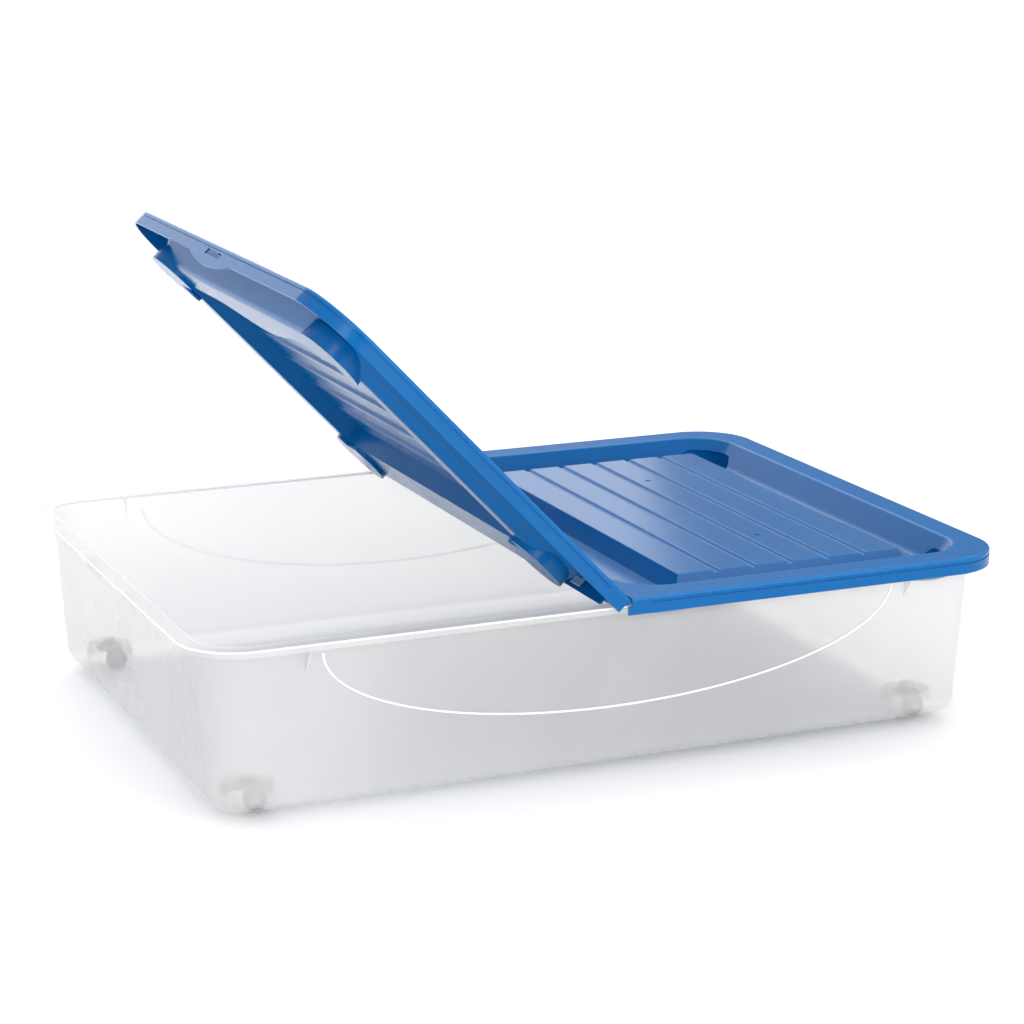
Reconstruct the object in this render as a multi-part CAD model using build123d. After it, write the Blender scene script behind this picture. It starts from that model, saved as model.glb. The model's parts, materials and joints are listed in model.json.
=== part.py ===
from build123d import *
import math
import os

# Under-bed storage box on four swivel casters, with a lid in two halves that are hinged
# together across the middle. Millimetres. +X runs along the box, +Y across it, +Z up.
# The origin is on the floor, under the middle of the box.

# ---- Overall sizes -------------------------------------------------------------------
lid_length = 790.0
lid_width = 574.0
lid_top_z = 170.0
lid_corner_radius = 58.0
open_angle = 46.2            # how far the left half of the lid is raised at rest

# ---- Tub -----------------------------------------------------------------------------
tub_base_z = 11.0            # underside of the floor
tub_wall = 2.2
tub_floor = 2.5
tub_draft = 4.0              # degrees that the walls lean outwards
tub_base_fillet = 12.0
tub_wall_corner = 31.0       # corner radius of the walls at the floor
rim_shelf = 14.0             # from the outer wall face to the rim's outer edge
rim_thickness = 2.0
rim_lip_depth = 6.0
rim_edge_fillet = 1.4
skirt_clearance = 1.2        # between the lid's skirt and the rim, all round

arc_rib_end_inset = 120.0    # curved rib on the long walls, from the lid's end
arc_rib_drop = 84.0
arc_rib_top_z = 150.0
arc_rib_width = 2.4
arc_rib_proud = 0.8

bracket_spacing = 116.0      # ribs under the rim, beside each pull tab
bracket_height = 26.0
bracket_thickness = 2.0
side_rib_inset = 105.0       # ribs under the rim on the long sides, from the lid's end

dimple_offset = 98.0
dimple_radius = 30.0
dimple_depth = 0.8
gate_radius = 12.5

# ---- Lid -----------------------------------------------------------------------------
lid_plate = 2.0
skirt_height = 15.0
skirt_wall = 1.8
bead_radius = 2.2
groove_top = 4.2             # below the lid's top face
groove_height = 1.6
groove_depth = 0.9
groove_start = 24.0          # plain length of skirt next to the hinge line
lid_rest_gap = 0.3           # between the lid's ribs and the tub's rim

rim_width = 28.0             # from the skirt to the mouth of the tray
tray_hinge_side = 14.0       # from the hinge line to the mouth of the tray
tray_depth = 23.0
tray_slope = 35.0
tray_corner = 45.0
tray_side_margin = 30.0      # from the lid's long side to the mouth of the tray
tray_wall = 2.4
tray_mouth_fillet = 3.5
tray_floor_fillet = 8.0
tray_trim = 0.001            # skimmed off the tray's wall, so that its top lies inside the plate

platform_below_top = 6.0
platform_hinge_side = 86.0
platform_end_margin = 78.0   # from the lid's end to the platform's straight end
platform_side_margin = 75.0  # from the lid's side to the platform's end faces
platform_slope = 22.0
platform_bite = 16.0         # depth of the curved bite in the platform's end
platform_bite_half = 125.0
stripe_count = 6
stripe_groove = 4.0          # width of a groove at its bottom
stripe_groove_slope = 1.8    # how much wider a groove is at the top, on each side
stripe_groove_depth = 2.5

recess_radius = 30.0         # rounds that take the casters of a box stacked on top
recess_depth = 4.0
recess_end_shift = 3.0       # from the swivel axis towards the lid's end
hinge_recess_x = 60.0

rib_thickness = 1.6
side_rib_places = (105.0, 243.0)
end_rib_places = (-170.0, 0.0, 170.0)

tab_width = 120.0            # half-moon pull tab on each free end
tab_drop = 8.0
tab_overlap = 2.0            # how far the tab reaches up into the skirt
slot_width = 40.0
slot_height = 6.0
slot_above_edge = 2.5

# ---- Hinge between the halves --------------------------------------------------------
rod_radius = 3.2
rod_rim_gap = 0.6            # the rod's ends pass this far above the tub's rim
hook_clearance = 0.3
hook_wall = 2.1
hook_mouth = 0.8             # how far the hooks reach up past the hinge line on the far side
hook_width = 18.0
window_clearance = 2.0       # beside each hook
window_cut = 1.0             # how far a window's cutter runs past the walls that it opens
hook_places = (-205.0, -128.0, -50.0, 0.0, 50.0, 128.0, 205.0)
hinge_wall_gap = 0.6         # between the hooks and the opposite hinge wall
hinge_wall_foot = 4.0        # how far the hinge walls reach below the skirt
hinge_wall_clear = 4.4       # from the hinge walls' feet to the tub's walls
edge_gap = 0.6               # from the hinge line to each half's skirt and plate
hook_cut_gap = 0.3           # from the hooks' seat to the closed half's plate and skirt

# ---- Casters -------------------------------------------------------------------------
caster_end_inset = 67.0      # from the lid's end to the swivel axis
caster_side_inset = 69.0     # from the lid's side to the swivel axis
pocket_clearance = 3.1       # from the turning caster to the pocket's wall
pocket_wall = 2.0
socket_radius = 6.0
socket_height = 8.0
stem_radius = 2.5
stem_clearance = 0.08
stem_length = 9.0
stem_chamfer = 0.5
wheel_radius = 10.0
wheel_width = 9.0
wheel_round = 1.5
wheel_rim = 3.0              # from the tread to the dished face
wheel_hub_wall = 1.5
axle_radius = 1.5
axle_clearance = 0.06
caster_trail = 7.0
fork_plate = 3.0
fork_plate_radius = 12.5
fork_plate_fillet = 1.0
fork_web_front = 8.5         # reach of the cheeks under the plate, from the swivel axis
fork_web_back = 6.5
fork_crown_gap = 2.5         # from the top of the wheel to the fork's plate
fork_gap_top = 0.5           # from the fork to the pocket's roof
fork_side_gap = 0.4          # from the fork's cheeks to the wheel
cheek_thickness = 2.0
cheek_radius = 4.2

# ---- Sizes that follow from those above ------------------------------------------------
lid_half_x = lid_length / 2
lid_half_y = lid_width / 2
tub_rim_z = lid_top_z - 2 * rod_radius - rod_rim_gap
plate_low_z = lid_top_z - lid_plate
skirt_low_z = lid_top_z - skirt_height

rim_inset = skirt_wall + skirt_clearance
rim_half_x = lid_half_x - rim_inset
rim_half_y = lid_half_y - rim_inset
rim_corner = lid_corner_radius - rim_inset
draft_run = (tub_rim_z - tub_base_z) * math.tan(math.radians(tub_draft))
base_half_x = rim_half_x - rim_shelf - draft_run
base_half_y = rim_half_y - rim_shelf - draft_run

axis_z = lid_top_z - rod_radius
hook_inner = rod_radius + hook_clearance
hook_outer = hook_inner + hook_wall
hinge_wall_x = hook_outer + hinge_wall_gap
rib_low_z = tub_rim_z + lid_rest_gap
floor_top_z = lid_top_z - tray_depth
platform_z = lid_top_z - platform_below_top
platform_half_y = lid_half_y - platform_side_margin
platform_end_x = lid_half_x - platform_end_margin

caster_x = lid_half_x - caster_end_inset
caster_y = lid_half_y - caster_side_inset
fork_low_z = 2 * wheel_radius + fork_crown_gap
pocket_roof_z = fork_low_z + fork_plate + fork_gap_top
fork_half_y = wheel_width / 2 + fork_side_gap + cheek_thickness
pocket_radius = math.hypot(caster_trail + wheel_radius, fork_half_y) + pocket_clearance

arc_rib_half_length = lid_half_x - arc_rib_end_inset
side_rib_x = lid_half_x - side_rib_inset
hinge_wall_half_y = rim_half_y - rim_shelf - tub_wall - hinge_wall_clear
MIRROR = Plane.YZ


def slab(half_x, half_y, corner, low_z, high_z):
    """A rounded block about the Z axis."""
    outline = Pos(0, 0, low_z) * RectangleRounded(2 * half_x, 2 * half_y, corner)
    return extrude(outline, high_z - low_z)


def block(low, high):
    """A plain block between two corners."""
    size = [high[i] - low[i] for i in range(3)]
    centre = [(high[i] + low[i]) / 2 for i in range(3)]
    return Pos(*centre) * Box(*size)


def wall_prism(inset, low_z, high_z, fillet_radius):
    """The tapered body of the tub, its faces set in by inset."""
    lean = math.tan(math.radians(tub_draft))
    shift = (low_z - tub_base_z) * lean - inset
    outline = Pos(0, 0, low_z) * RectangleRounded(
        2 * (base_half_x + shift), 2 * (base_half_y + shift), tub_wall_corner + shift)
    body = extrude(outline, high_z - low_z, taper=-tub_draft)
    if fillet_radius > 0:
        body = fillet(body.edges().group_by(Axis.Z)[0], fillet_radius)
    return body


def rim():
    """The rolled rim: a shelf round the walls with a lip turned down."""
    shelf = slab(rim_half_x, rim_half_y, rim_corner, tub_rim_z - rim_lip_depth, tub_rim_z)
    shelf = fillet(shelf.edges().group_by(Axis.Z)[-1], rim_edge_fillet)
    hollow = slab(rim_half_x - rim_thickness, rim_half_y - rim_thickness,
                  rim_corner - rim_thickness, tub_rim_z - rim_lip_depth - 1,
                  tub_rim_z - rim_thickness)
    return shelf - hollow


def arc_rib():
    """The curved rib that both long walls carry, half an ellipse hung from the rim."""
    half = arc_rib_width / 2
    outer = Ellipse(arc_rib_half_length + half, arc_rib_drop + half)
    inner = Ellipse(arc_rib_half_length - half, arc_rib_drop - half)
    lower = Pos(0, -arc_rib_drop) * Rectangle(3 * arc_rib_half_length, 2 * arc_rib_drop)
    ring = (outer - inner) & lower
    ring = Plane((0, 0, arc_rib_top_z), x_dir=(1, 0, 0), z_dir=(0, -1, 0)) * ring
    bar = extrude(ring, 2 * lid_width, both=True)
    skin = wall_prism(-arc_rib_proud, tub_base_z + tub_base_fillet, tub_rim_z - 1, 0)
    skin -= wall_prism(tub_wall / 2, tub_base_z, tub_rim_z, 0)
    return bar & skin


def rim_bracket(x, y, turn):
    """A thin gusset between the wall and the underside of the rim."""
    top = tub_rim_z - rim_thickness
    reach = rim_shelf - rim_thickness
    lean = bracket_height * math.tan(math.radians(tub_draft))
    outline = make_face(Polyline((-tub_wall / 2, top), (reach, top), (reach, top - rim_lip_depth),
                                 (-lean, top - bracket_height), (-lean - tub_wall / 2, top - bracket_height),
                                 close=True))
    rib = extrude(Plane.XZ * outline, bracket_thickness / 2, both=True)
    return Pos(x, y, 0) * Rot(0, 0, turn) * rib


def pocket_places():
    return [(sx * caster_x, sy * caster_y) for sx in (-1, 1) for sy in (-1, 1)]


def tub():
    shell = wall_prism(0, tub_base_z, tub_rim_z, tub_base_fillet) + rim()
    shell -= wall_prism(tub_wall, tub_base_z + tub_floor, tub_rim_z + 1,
                        tub_base_fillet - tub_wall)
    shell += arc_rib()
    wall_x = rim_half_x - rim_shelf
    wall_y = rim_half_y - rim_shelf
    for side in (-1, 1):
        for place in (-1, 1):
            shell += rim_bracket(side * wall_x, place * bracket_spacing / 2, 90 - 90 * side)
            shell += rim_bracket(place * side_rib_x, side * wall_y, 90 * side)
    roof_z = pocket_roof_z + pocket_wall
    for x, y in pocket_places():
        dome = Pos(x, y, tub_base_z) * extrude(Circle(pocket_radius + pocket_wall), roof_z - tub_base_z)
        dome = fillet(dome.edges().group_by(Axis.Z)[-1], pocket_wall)
        shell += dome
        shell += Pos(x, y, roof_z) * extrude(Circle(socket_radius), socket_height - pocket_wall)
        shell -= Pos(x, y, tub_base_z - 1) * extrude(Circle(pocket_radius), pocket_roof_z - tub_base_z + 1)
        bore = stem_radius + stem_clearance
        shell -= Pos(x, y, pocket_roof_z - 1) * extrude(Circle(bore), socket_height - pocket_wall + 1)
    floor_z = tub_base_z + tub_floor
    for side in (-1, 1):
        ring = Circle(dimple_radius) - Circle(gate_radius)
        shell -= Pos(0, side * dimple_offset, floor_z - dimple_depth) * extrude(ring, 2 * dimple_depth)
    return shell


def half_slab(inset, low_z, high_z, start_x):
    """The lid's rounded outline, set in by inset and kept from start_x towards +X."""
    body = slab(lid_half_x - inset, lid_half_y - inset, lid_corner_radius - inset, low_z, high_z)
    keep = block((start_x, -lid_width, low_z - 1), (lid_length, lid_width, high_z + 1))
    return body & keep


def lid_edge():
    """Top plate, skirt and beaded edge of one half."""
    body = slab(lid_half_x, lid_half_y, lid_corner_radius, skirt_low_z, lid_top_z)
    body = fillet(body.edges().group_by(Axis.Z)[-1], bead_radius)
    keep = block((edge_gap, -lid_width, skirt_low_z - 1), (lid_length, lid_width, lid_top_z + 1))
    body &= keep
    groove_z = lid_top_z - groove_top
    groove = half_slab(-1, groove_z - groove_height, groove_z, groove_start)
    groove -= half_slab(groove_depth, groove_z - groove_height - 1, groove_z + 1, groove_start - 1)
    body -= groove
    wall_x = hinge_wall_x + skirt_wall
    body -= half_slab(skirt_wall, skirt_low_z - 1, plate_low_z, wall_x)
    inner_y = lid_half_y - skirt_wall
    body -= block((edge_gap - 1, -inner_y, skirt_low_z - 1), (hinge_wall_x, inner_y, plate_low_z))
    seat_y = hinge_wall_half_y
    for side in (-1, 1):
        low_y, high_y = sorted((side * seat_y, side * inner_y))
        body -= block((hinge_wall_x - 1, low_y, skirt_low_z - 1), (wall_x + 1, high_y, rib_low_z))
    body += block((hinge_wall_x, -seat_y, skirt_low_z - hinge_wall_foot), (wall_x, seat_y, skirt_low_z + 1))
    return body


def tray_prism(wall, depth, fillet_radius):
    """The dished tray as a closed block, wall thicker than the hollow all round."""
    end_x = lid_half_x - rim_width
    length = end_x - tray_hinge_side + 2 * wall
    width = 2 * (lid_half_y - tray_side_margin) + 2 * wall
    outline = Pos((end_x + tray_hinge_side) / 2, 0, lid_top_z) * RectangleRounded(
        length, width, tray_corner + wall)
    body = extrude(outline, depth, dir=(0, 0, -1), taper=tray_slope)
    return fillet(body.edges().group_by(Axis.Z)[0], fillet_radius)


def recess_rounds(radius, low_z):
    rounds = []
    for x in (caster_x + recess_end_shift, hinge_recess_x):
        for side in (-1, 1):
            rounds.append(Pos(x, side * caster_y, low_z) * extrude(
                Circle(radius), floor_top_z + tray_depth / 2 - low_z))
    return rounds


def platform_outline(inset):
    """The striped platform's outline, with the shallow curved bite in its end."""
    start_x = platform_hinge_side + inset
    end_x = platform_end_x - inset
    half_y = platform_half_y - inset
    bite = platform_bite
    reach = platform_bite_half
    curve = (reach ** 2 + bite ** 2) / (4 * bite)
    middle_x = end_x - bite / 2
    edge = Line((end_x, -half_y), (end_x, -reach))
    first = RadiusArc((end_x, -reach), (middle_x, -reach / 2), -curve)
    second = RadiusArc((middle_x, -reach / 2), (middle_x, reach / 2), curve)
    third = RadiusArc((middle_x, reach / 2), (end_x, reach), -curve)
    rest = Polyline((end_x, reach), (end_x, half_y), (start_x, half_y), (start_x, -half_y), (end_x, -half_y))
    return make_face(edge + first + second + third + rest)


def platform_prism(inset, top_z, low_z):
    outline = Pos(0, 0, top_z) * platform_outline(inset)
    return extrude(outline, top_z - low_z, dir=(0, 0, -1), taper=-platform_slope)


def stripe_bars(half_width, low_z):
    """Bars with leaning sides, one for each groove between two stripes."""
    pitch = (platform_end_x - platform_hinge_side) / stripe_count
    reach = half_width + 2 * stripe_groove_slope
    high_z = low_z + 2 * stripe_groove_depth
    section = make_face(Polyline((-half_width, low_z), (half_width, low_z), (reach, high_z), (-reach, high_z),
                                 close=True))
    bar = extrude(Plane.XZ * section, lid_half_y, both=True)
    return [Pos(platform_hinge_side + number * pitch, 0, 0) * bar for number in range(1, stripe_count)]


def tray():
    """Tray and striped platform, one wall thickness everywhere."""
    shell = tray_prism(tray_wall, tray_depth + lid_plate, tray_floor_fillet + lid_plate)
    for piece in recess_rounds(recess_radius + lid_plate, floor_top_z - recess_depth - lid_plate):
        shell += piece
    hollow = tray_prism(0, tray_depth, tray_floor_fillet)
    for piece in recess_rounds(recess_radius, floor_top_z - recess_depth):
        hollow += piece
    shell -= hollow
    shell -= block((0, -lid_width, lid_top_z - tray_trim), (lid_length, lid_width, lid_top_z + 1))
    under_z = floor_top_z - recess_depth - lid_plate
    raised = platform_prism(0, platform_z, floor_top_z - lid_plate)
    for bar in stripe_bars(stripe_groove / 2, platform_z - stripe_groove_depth):
        raised -= bar
    below = platform_prism(lid_plate, platform_z - lid_plate, under_z - 1)
    for bar in stripe_bars(stripe_groove / 2 + lid_plate / 2, platform_z - stripe_groove_depth - lid_plate):
        below -= bar
    return shell, raised, below, hollow


def rim_ribs():
    """Ribs in the channel under the lid's rim. They rest on the rim of the tub."""
    ribs = []
    inner_x = lid_half_x - rim_width + 1
    inner_y = lid_half_y - rim_width - 1
    half = rib_thickness / 2
    for x in side_rib_places:
        for side in (-1, 1):
            low_y, high_y = sorted((side * inner_y, side * (lid_half_y - skirt_wall / 2)))
            ribs.append(block((x - half, low_y, rib_low_z), (x + half, high_y, plate_low_z + 1)))
    for y in end_rib_places:
        ribs.append(block((inner_x, y - half, rib_low_z),
                          (lid_half_x - skirt_wall / 2, y + half, plate_low_z + 1)))
    return ribs


def pull_tab():
    """Half-moon tab that carries the skirt down at the middle of the free end."""
    chord = tab_width / 2
    arc = ThreePointArc((-chord, 0), (0, -tab_drop), (chord, 0))
    top = Polyline((chord, 0), (chord, tab_overlap), (-chord, tab_overlap), (-chord, 0))
    face = Plane((lid_half_x, 0, skirt_low_z), x_dir=(0, 1, 0), z_dir=(1, 0, 0)) * make_face(arc + top)
    return extrude(face, -skirt_wall)


def round_tray_mouth(body):
    """Rounds the edge where the lid's top face turns down into the tray."""
    mouth = Pos((lid_half_x + tray_hinge_side - rim_width) / 2, 0, lid_top_z) * Box(
        lid_half_x - rim_width - tray_hinge_side + 1, 2 * (lid_half_y - tray_side_margin) + 1, 1)
    low, high = mouth.bounding_box().min, mouth.bounding_box().max
    edges = [edge for edge in body.edges() if inside(edge.bounding_box(), low, high)]
    return fillet(edges, tray_mouth_fillet)


def inside(box, low, high):
    return (low.X < box.min.X and low.Y < box.min.Y and low.Z < box.min.Z
            and box.max.X < high.X and box.max.Y < high.Y and box.max.Z < high.Z)


def lid_half():
    """What both halves of the lid share, drawn closed and to the right of the hinge line."""
    shell, raised, below, hollow = tray()
    body = lid_edge()
    for rib in rim_ribs():
        body += rib
    body -= hollow
    body += shell
    body += raised
    body -= below
    body = round_tray_mouth(body)
    body += pull_tab()
    slot_z = skirt_low_z + slot_above_edge
    body -= block((lid_half_x - 2 * skirt_wall, -slot_width / 2, slot_z),
                  (lid_half_x + 1, slot_width / 2, slot_z + slot_height))
    return body


def hinge_bar(radius, width, y):
    """A round bar on the hinge line, width long and centred at y."""
    return Pos(0, y, axis_z) * Rot(90, 0, 0) * Cylinder(radius, width)


def hook(y):
    """An open hook that holds the rod from below."""
    ring = hinge_bar(hook_outer, hook_width, y)
    root = block((0, y - hook_width / 2, axis_z - hook_outer),
                 (hinge_wall_x + skirt_wall / 2, y + hook_width / 2, plate_low_z))
    body = ring + root
    body -= block((-hook_outer - 1, y - hook_width, axis_z + hook_mouth),
                  (hook_outer + 1, y + hook_width, axis_z + hook_outer + 1))
    return body - hinge_bar(hook_inner, hook_width + 2, y)


def lid_right():
    """The half that stays closed. It carries the hooks."""
    body = lid_half()
    clear = hook_inner + hook_cut_gap
    body -= block((-1, -lid_width, axis_z - clear), (clear, lid_width, lid_top_z + 1))
    for y in hook_places:
        body += hook(y)
    return body


def lid_left():
    """The half that is raised. It carries the rod, with a window beside each hook."""
    body = mirror(lid_half(), MIRROR)
    for y in hook_places:
        half = hook_width / 2 + window_clearance
        body -= block((-hinge_wall_x - skirt_wall - window_cut, y - half, skirt_low_z),
                      (window_cut, y + half, lid_top_z + window_cut))
    inner_y = lid_half_y - skirt_wall
    rod = hinge_bar(rod_radius, 2 * inner_y, 0)
    body += rod
    hinge = Axis((0, 0, axis_z), (0, 1, 0))
    return body.rotate(hinge, open_angle)


def caster_stem():
    pin = Pos(0, 0, fork_low_z) * extrude(Circle(stem_radius), stem_length)
    return chamfer(pin.edges().group_by(Axis.Z)[-1], stem_chamfer)


def caster_fork():
    """A round plate with two cheeks that hold the axle behind the swivel axis."""
    top_z = pocket_roof_z - fork_gap_top
    body = Pos(0, 0, top_z - fork_plate) * extrude(Circle(fork_plate_radius), fork_plate)
    body = fillet(body.edges().group_by(Axis.Z)[-1], fork_plate_fillet)
    inner_y = wheel_width / 2 + fork_side_gap
    for side in (-1, 1):
        low_y, high_y = sorted((side * inner_y, side * (inner_y + cheek_thickness)))
        eye = Pos(caster_trail, (low_y + high_y) / 2, wheel_radius) * Rot(90, 0, 0) * Cylinder(
            cheek_radius, cheek_thickness)
        web = Plane.XZ * make_face(Polyline(
            (caster_trail - cheek_radius, wheel_radius), (caster_trail + cheek_radius, wheel_radius),
            (fork_web_front, top_z - fork_plate / 2), (-fork_web_back, top_z - fork_plate / 2),
            close=True))
        body += Pos(0, high_y, 0) * extrude(web, cheek_thickness) + eye
    axle_hole = Pos(caster_trail, 0, wheel_radius) * Rot(90, 0, 0) * Cylinder(
        axle_radius, 4 * wheel_width)
    stem_hole = Pos(0, 0, top_z - 2 * fork_plate) * extrude(Circle(stem_radius), 3 * fork_plate)
    return body - axle_hole - stem_hole


def caster_axle():
    length = wheel_width + 2 * fork_side_gap + 2 * cheek_thickness
    return Pos(caster_trail, 0, wheel_radius) * Rot(90, 0, 0) * Cylinder(axle_radius, length)


def caster_wheel():
    tyre = Rot(90, 0, 0) * Cylinder(wheel_radius, wheel_width)
    tyre = fillet(tyre.edges(), wheel_round)
    for side in (-1, 1):
        face_y = side * wheel_width / 2
        dish = Rot(90, 0, 0) * (Cylinder(wheel_radius - wheel_rim, wheel_round) - Cylinder(
            axle_radius + wheel_hub_wall, wheel_round))
        tyre -= Pos(0, face_y, 0) * dish
    tyre -= Rot(90, 0, 0) * Cylinder(axle_radius + axle_clearance, 2 * wheel_width)
    return Pos(caster_trail, 0, wheel_radius) * tyre


def main():
    os.makedirs("parts", exist_ok=True)
    nodes = {"tub": tub(), "lid_right": lid_right(), "lid_left": lid_left()}
    corners = {"left_front": (-1, -1), "left_back": (-1, 1), "right_front": (1, -1), "right_back": (1, 1)}
    pieces = {"stem": caster_stem(), "fork": caster_fork(), "axle": caster_axle(), "wheel": caster_wheel()}
    for corner, (side_x, side_y) in corners.items():
        place = Pos(side_x * caster_x, side_y * caster_y, 0)
        for name, piece in pieces.items():
            nodes["caster_" + name + "_" + corner] = place * piece
    for name, shape in nodes.items():
        export_step(shape, os.path.join("parts", name + ".step"))


main()
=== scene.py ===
import json
import math

import bmesh
import bpy
from mathutils import Matrix, Vector


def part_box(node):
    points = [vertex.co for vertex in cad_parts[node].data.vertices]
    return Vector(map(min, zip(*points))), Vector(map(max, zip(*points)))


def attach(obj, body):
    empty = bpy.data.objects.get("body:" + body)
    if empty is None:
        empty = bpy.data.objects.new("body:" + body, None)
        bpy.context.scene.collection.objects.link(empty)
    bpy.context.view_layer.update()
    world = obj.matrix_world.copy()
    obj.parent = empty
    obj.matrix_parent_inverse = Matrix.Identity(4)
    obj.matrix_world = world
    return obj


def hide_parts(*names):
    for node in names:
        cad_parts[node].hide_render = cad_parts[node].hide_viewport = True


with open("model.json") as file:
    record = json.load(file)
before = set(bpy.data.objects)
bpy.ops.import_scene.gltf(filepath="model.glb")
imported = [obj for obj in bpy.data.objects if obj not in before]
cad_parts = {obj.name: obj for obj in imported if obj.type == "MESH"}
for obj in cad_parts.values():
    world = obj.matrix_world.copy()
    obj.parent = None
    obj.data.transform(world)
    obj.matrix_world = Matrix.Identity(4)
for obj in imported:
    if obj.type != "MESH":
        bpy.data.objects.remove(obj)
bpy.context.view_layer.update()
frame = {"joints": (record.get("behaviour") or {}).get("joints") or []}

# Shapes are worked out in millimetres, in the frame's axes, and turned into metres when a
# piece is finished. +X runs along the box, +Y to its back, and Z = 0 is the floor.
MM = 0.001


def in_mm(corner):
    return Vector(corner) / MM


tub_low, tub_high = map(in_mm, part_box("tub"))
lid_low, lid_high = map(in_mm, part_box("lid_right"))
fold = next(joint for joint in frame["joints"] if joint["name"] == "lid_fold")
hinge_z = fold["pos_m"][2] / MM
open_angle = -fold["range_deg"][0]

# ---- Lid --------------------------------------------------------------------------------
lid_x, lid_y, lid_top = lid_high
skirt_low = lid_top - 15.0
lid_corner = 58.0
plate = 2.0
skirt_wall = 1.8
bead = 2.2
edge_gap = 0.6
groove_top = lid_top - 4.2
groove_low = groove_top - 1.6
groove_depth = 0.9
groove_start = 24.0

tray_low_x = 14.0
tray_high_x = lid_x - 28.0
tray_y = lid_y - 30.0
tray_depth = 23.0
tray_lean = math.radians(35.0)
tray_corner = 45.0
tray_wall = 2.4
tray_mouth_round = 3.5
tray_floor_round = 8.0
tray_floor = lid_top - tray_depth

platform_top = lid_top - 6.0
platform_low_x = 86.0
platform_high_x = lid_x - 78.0
platform_y = lid_y - 75.0
platform_lean = math.radians(22.0)
bite_depth = 16.0
bite_half = 125.0
stripe_count = 6
stripe_groove = 4.0
stripe_groove_depth = 2.5
stripe_groove_slope = 1.8
platform_edge_round = 0.7
mark_places = ((218.0, -118.0), (218.0, 118.0))
mark_radius = 4.5
mark_depth = 0.6

recess_radius = 30.0
recess_low = tray_floor - 4.0
recess_high = tray_floor + tray_depth / 2
recess_places_x = (60.0, lid_x - 64.0)

rib_half = 0.8
side_rib_places = (105.0, 243.0)
end_rib_places = (-170.0, 0.0, 170.0)
rib_low = tub_high.z + 0.3

tab_half = 60.0
tab_drop = 8.0
slot_half = 20.0
slot_low = skirt_low + 2.5
slot_height = 6.0

# ---- Hinge ------------------------------------------------------------------------------
rod_radius = lid_top - hinge_z
rod_gap = 0.3
hook_inner = rod_radius + rod_gap
hook_outer = hook_inner + 2.1
hook_half = 9.0
hook_mouth = 0.8
hook_cut_gap = 0.3
hook_places = (-205.0, -128.0, -50.0, 0.0, 50.0, 128.0, 205.0)
window_half = hook_half + 2.0
window_cut = 1.0
hinge_wall_x = hook_outer + 0.6
hinge_wall_foot = skirt_low - 4.0
hinge_wall_y = tub_high.y - 20.6

# ---- Tub --------------------------------------------------------------------------------
rim_x, rim_y, rim_top = tub_high
rim_corner = 55.0
rim_shelf = 14.0
rim_thickness = 2.0
rim_lip = 6.0
rim_round = 1.4
tub_floor_low = tub_low.z
tub_wall = 2.2
tub_floor_thickness = 2.5
tub_lean = math.radians(4.0)
tub_base_round = 12.0
draft_run = (rim_top - tub_floor_low) * math.tan(tub_lean)

arc_half_x = lid_x - 120.0
arc_drop = 84.0
arc_top = 150.0
arc_half_width = 0.9
arc_proud = 1.2

bracket_drop = 26.0
bracket_half = 1.0
bracket_places_y = (-58.0, 58.0)
bracket_places_x = (-lid_x + 105.0, lid_x - 105.0)

dimple_places_y = (-98.0, 98.0)
dimple_radius = 30.0
gate_radius = 12.5
dimple_depth = 0.8

# ---- Casters ----------------------------------------------------------------------------
caster_x = lid_x - 67.0
caster_y = lid_y - 69.0
pocket_radius = 21.5
pocket_roof = 26.0
pocket_wall = 2.0
boss_radius = 6.0
boss_top = pocket_roof + 8.0
bore_radius = 2.6
bore_top = boss_top - 2.0
corners = {"left_front": (-1, -1), "left_back": (-1, 1),
           "right_front": (1, -1), "right_back": (1, 1)}

round_steps = 8              # facets in a small rounded edge
corner_steps = 16            # facets in each corner of a rounded rectangle
lathe_steps = 72
past = 1.0                   # how far a tool reaches past what it cuts or joins
same_point = 0.01            # closer points of one skin are one point
same_place = 1e-4
flat_angle = 1e-5            # faces that meet at less than this are one face
edge_angle = math.radians(30)
rim_top_depth = 0.05         # faces this near the lid's top are its flat rim
boss_round = 0.8
fork_round = 1.0


# ==== Shapes =============================================================================
# Verts and edges are kept in lists, in the order in which they were made, not in sets.
def verts_in(geom):
    return [g for g in geom if isinstance(g, bmesh.types.BMVert)]


def edges_in(geom):
    return [g for g in geom if isinstance(g, bmesh.types.BMEdge)]


def edges_round(verts):
    return list(dict.fromkeys(edge for v in verts for edge in v.link_edges))


def slice_off(bm, point, away):
    """Removes what lies past a plane, on the side that away points to. Gives the cut's edges."""
    whole = bm.verts[:] + bm.edges[:] + bm.faces[:]
    cut = bmesh.ops.bisect_plane(bm, geom=whole, plane_co=point, plane_no=away, clear_outer=True)
    return edges_in(cut["geom_cut"])


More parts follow.
